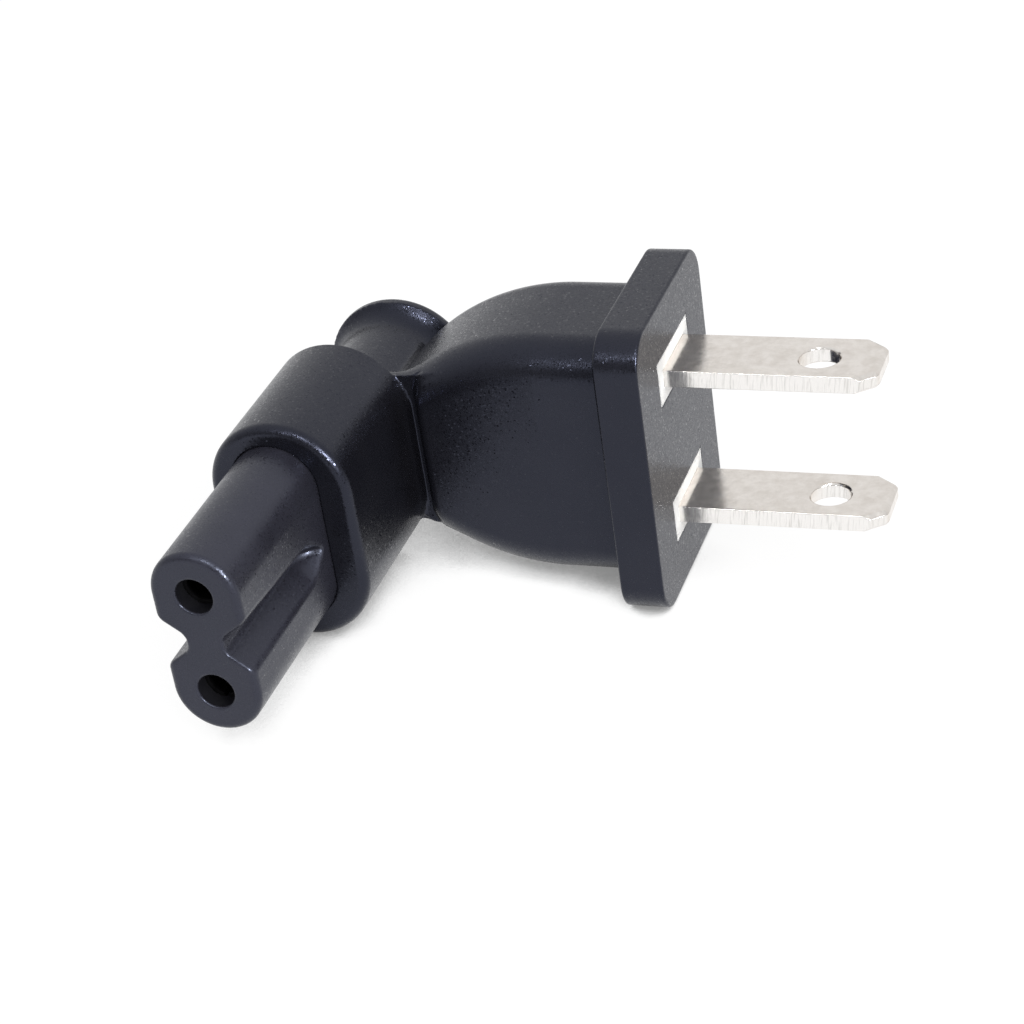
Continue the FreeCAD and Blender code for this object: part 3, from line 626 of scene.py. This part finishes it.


# Painted shade in the bores and on the contacts, white carrier, copper and sleeves: colour clouds with a
# matching fine bump

plainLooks = {
    # Near black bore walls: painted shade inside the bores
    "paintedBoreShade": {"dark": (0.006, 0.006, 0.009), "light": (0.009, 0.009, 0.012), "roughness": 0.8,
                  "metallic": 0.0, "scale": 900.0, "depth": 0.000003, "specular": 0.1},
    "whiteCarrier": {"dark": (0.95, 0.95, 0.94), "light": (0.97, 0.97, 0.96), "roughness": 0.45,
                     "metallic": 0.0, "scale": 900.0, "depth": 0.000003, "specular": 0.5},
    # Contacts near black: painted shade of the dark bores they sit in
    "tinnedBrassPaintedShade": {"dark": (0.022, 0.022, 0.024), "light": (0.034, 0.034, 0.037), "roughness": 0.55,
                    "metallic": 1.0, "scale": 700.0, "depth": 0.000002, "specular": 0.5},
    "copperWire": {"dark": (0.80, 0.40, 0.25), "light": (0.88, 0.48, 0.32), "roughness": 0.30,
                   "metallic": 1.0, "scale": 800.0, "depth": 0.000002, "specular": 0.5},
    "wireSleeve": {"dark": (0.035, 0.035, 0.038), "light": (0.05, 0.05, 0.054), "roughness": 0.5,
                   "metallic": 0.0, "scale": 900.0, "depth": 0.000003, "specular": 0.5},
}
plainRange = {"span": (0.3, 0.7), "roughness": (0.85, 1.15), "detail": 5.0}


def plainMaterial(name, look):
    material, tree, shader = newMaterial(name)
    place = addNode(tree, "TexCoord").outputs["Object"]
    cloud = noise(tree, place, {"Scale": look["scale"], "Detail": plainRange["detail"]})
    tone = colourRamp(tree, cloud, plainRange["span"], (look["dark"], look["light"]))
    tree.links.new(tone, shader.inputs["Base Color"])
    spread = [look["roughness"] * share for share in plainRange["roughness"]]
    tree.links.new(mapRange(tree, cloud, plainRange["span"], spread), shader.inputs["Roughness"])
    tree.links.new(bumped(tree, cloud, look["depth"]), shader.inputs["Normal"])
    shader.inputs["Metallic"].default_value = look["metallic"]
    shader.inputs["Specular IOR Level"].default_value = look["specular"]
    return material


plain = {name: plainMaterial(name, look) for name, look in plainLooks.items()}
nickel = nickelMaterial(nickelLook)
dress(mouldingPiece, grainedMaterial("grainedMoulding", mouldingLook))
dress(nosePiece, grainedMaterial("satinNose", noseLook))
# The bore walls get the near black material: painted shade
nosePiece.data.materials.append(plain["paintedBoreShade"])
nosePiece.data.polygons.foreach_set("material_index", boreShadeFaces.astype(np.int32))
dress(nodes["blade_carrier"], plain["whiteCarrier"])
for blade in blades:
    dress(blade, nickel)
for side in ("upper", "lower"):
    # The contacts get a near black metal as painted shade
    dress(nodes["socket_contact_" + side], plain["tinnedBrassPaintedShade"])
    dress(nodes["lead_conductor_" + side], plain["copperWire"])
    dress(nodes["lead_sleeve_" + side], plain["wireSleeve"])
print("materials set")


# Floor, light and camera

floorLook = {
    "size": 1.6,
    "white": 0.16,
    "lift": 0.90,
    "contact": (0.0055, 0.26, 0.38),        # painted shadow: reach, how open the floor is where its glow is least and full
    "shelter": (0.012, 0.15, 0.27),
    # How far down the floor's glow is dimmed in the painted shadow
    "paintedShadowDim": 0.26,
    "occlusionRays": 8,
}

skyLook = {
    "bright": 0.85,
    "dim": 0.19,
    "span": (-0.6, 0.75),                   # how far a way faces the bright one where dim and bright
    "share": 0.35,                          # of the sky's light that falls on things
    "brightWay": (-0.20, 0.62, 0.76),
}

lampLook = {
    "top": {"way": (-0.08, -0.25, 0.96), "power": 1.8, "size": 0.60, "reach": 0.70, "glossy": False},
    "side": {"way": (0.58, -0.68, 0.46), "power": 4.0, "size": 0.60, "reach": 0.60, "glossy": False},
    "spark": {"way": (0.63, -0.56, 0.50), "power": 3.6, "size": 0.10, "reach": 0.55, "glossy": True},
    "glint": {"way": (-0.27, -0.73, 0.63), "power": 0.22, "size": 0.05, "reach": 0.55, "glossy": True},
    "flare": {"way": (0.10, -0.56, 0.82), "power": 0.80, "size": 0.05, "reach": 0.55, "glossy": True},
}


def seenByEye(tree):
    # 1 for camera, glossy and transmission rays, 0 for the light that falls on things
    rays = addNode(tree, "LightPath").outputs
    mirrored = reckon(tree, "MAXIMUM", rays["Is Glossy Ray"], rays["Is Transmission Ray"])
    return reckon(tree, "MAXIMUM", rays["Is Camera Ray"], mirrored)


def makeFloor(look):
    half, level = look["size"] / 2, cadBox[0][2]
    mesh = bpy.data.meshes.new("floor")
    corners = [(-half, -half, level), (half, -half, level), (half, half, level), (-half, half, level)]
    mesh.from_pydata(corners, [], [(0, 1, 2, 3)])
    floor = bpy.data.objects.new("floor", mesh)
    bpy.context.scene.collection.objects.link(floor)
    material, tree, shader = newMaterial("paleFloor")
    shader.inputs["Base Color"].default_value = (look["white"], look["white"], look["white"], 1)
    shader.inputs["Roughness"].default_value = 1.0
    shader.inputs["Specular IOR Level"].default_value = 0.0
    shader.inputs["Emission Color"].default_value = (1, 1, 1, 1)
    # Painted shadow: the floor's glow, seen by camera and glossy rays, falls off where the part stands close
    # beside it or shelters it from above
    glows = []
    for reach, least, most in (look["contact"], look["shelter"]):
        clear = addNode(tree, "AmbientOcclusion", {"samples": look["occlusionRays"]}, Distance=reach)
        strength = (look["paintedShadowDim"] * look["lift"], look["lift"])
        glows.append(mapRange(tree, clear.outputs["AO"], (least, most), strength))
    glow = reckon(tree, "MINIMUM", *glows)
    lift = reckon(tree, "MULTIPLY", seenByEye(tree), glow)
    tree.links.new(lift, shader.inputs["Emission Strength"])
    dress(floor, material)


def makeSky(look):
    # Bright behind the part, dim in front. The camera sees it white, and glossy faces see it whole.
    world = bpy.data.worlds.new("studio")
    world.use_nodes = True
    tree = world.node_tree
    way = addNode(tree, "TexCoord").outputs["Generated"]
    facing = addNode(tree, "VectorMath", {"operation": "DOT_PRODUCT"}, n0=way, n1=look["brightWay"])
    level = mapRange(tree, facing.outputs["Value"], look["span"], (look["dim"], look["bright"]),
                     {"interpolation_type": "SMOOTHSTEP"})
    share = mapRange(tree, seenByEye(tree), (0.0, 1.0), (look["share"], 1.0))
    strength = reckon(tree, "MULTIPLY", level, share)
    camera = addNode(tree, "LightPath").outputs["Is Camera Ray"]
    sky = tree.nodes["Background"]
    sky.inputs["Color"].default_value = (1, 1, 1, 1)
    tree.links.new(reckon(tree, "MAXIMUM", strength, camera), sky.inputs["Strength"])
    bpy.context.scene.world = world
    world.cycles.sampling_method = "NONE"


def makeLamps(looks):
    # Two softboxes carry most of the diffuse light, and three small lamps shine in glossy faces only
    for name, look in looks.items():
        lamp = bpy.data.lights.new(name, "AREA")
        lamp.energy, lamp.size = look["power"], look["size"]
        item = bpy.data.objects.new(name, lamp)
        item.location = Vector(look["way"]) * look["reach"]
        item.rotation_euler = (-item.location).to_track_quat("-Z", "Y").to_euler()
        item.visible_glossy = look["glossy"]
        item.visible_diffuse = not look["glossy"]
        bpy.context.scene.collection.objects.link(item)


cameraPlace = {
    "location": (0.045083, -0.174130, 0.109008),
    "right": (0.950754, 0.308700, -0.027864),
    "up": (-0.146261, 0.526080, 0.837768),
    "back": (0.273274, -0.792430, 0.545319),
    "lens": 89.85,
    "sensor": 36.0,
    "clipStart": 0.01,
}


def makeCamera(place):
    data = bpy.data.cameras.new("view")
    data.sensor_fit, data.sensor_width, data.lens = "HORIZONTAL", place["sensor"], place["lens"]
    data.clip_start = place["clipStart"]
    camera = bpy.data.objects.new("view", data)
    turn = Matrix((place["right"], place["up"], place["back"])).transposed().to_4x4()
    camera.matrix_world = Matrix.Translation(place["location"]) @ turn
    bpy.context.scene.collection.objects.link(camera)
    bpy.context.scene.camera = camera


makeFloor(floorLook)
makeSky(skyLook)
makeLamps(lampLook)
makeCamera(cameraPlace)
bpy.context.scene.view_settings.view_transform = "Standard"
print("stage ready")
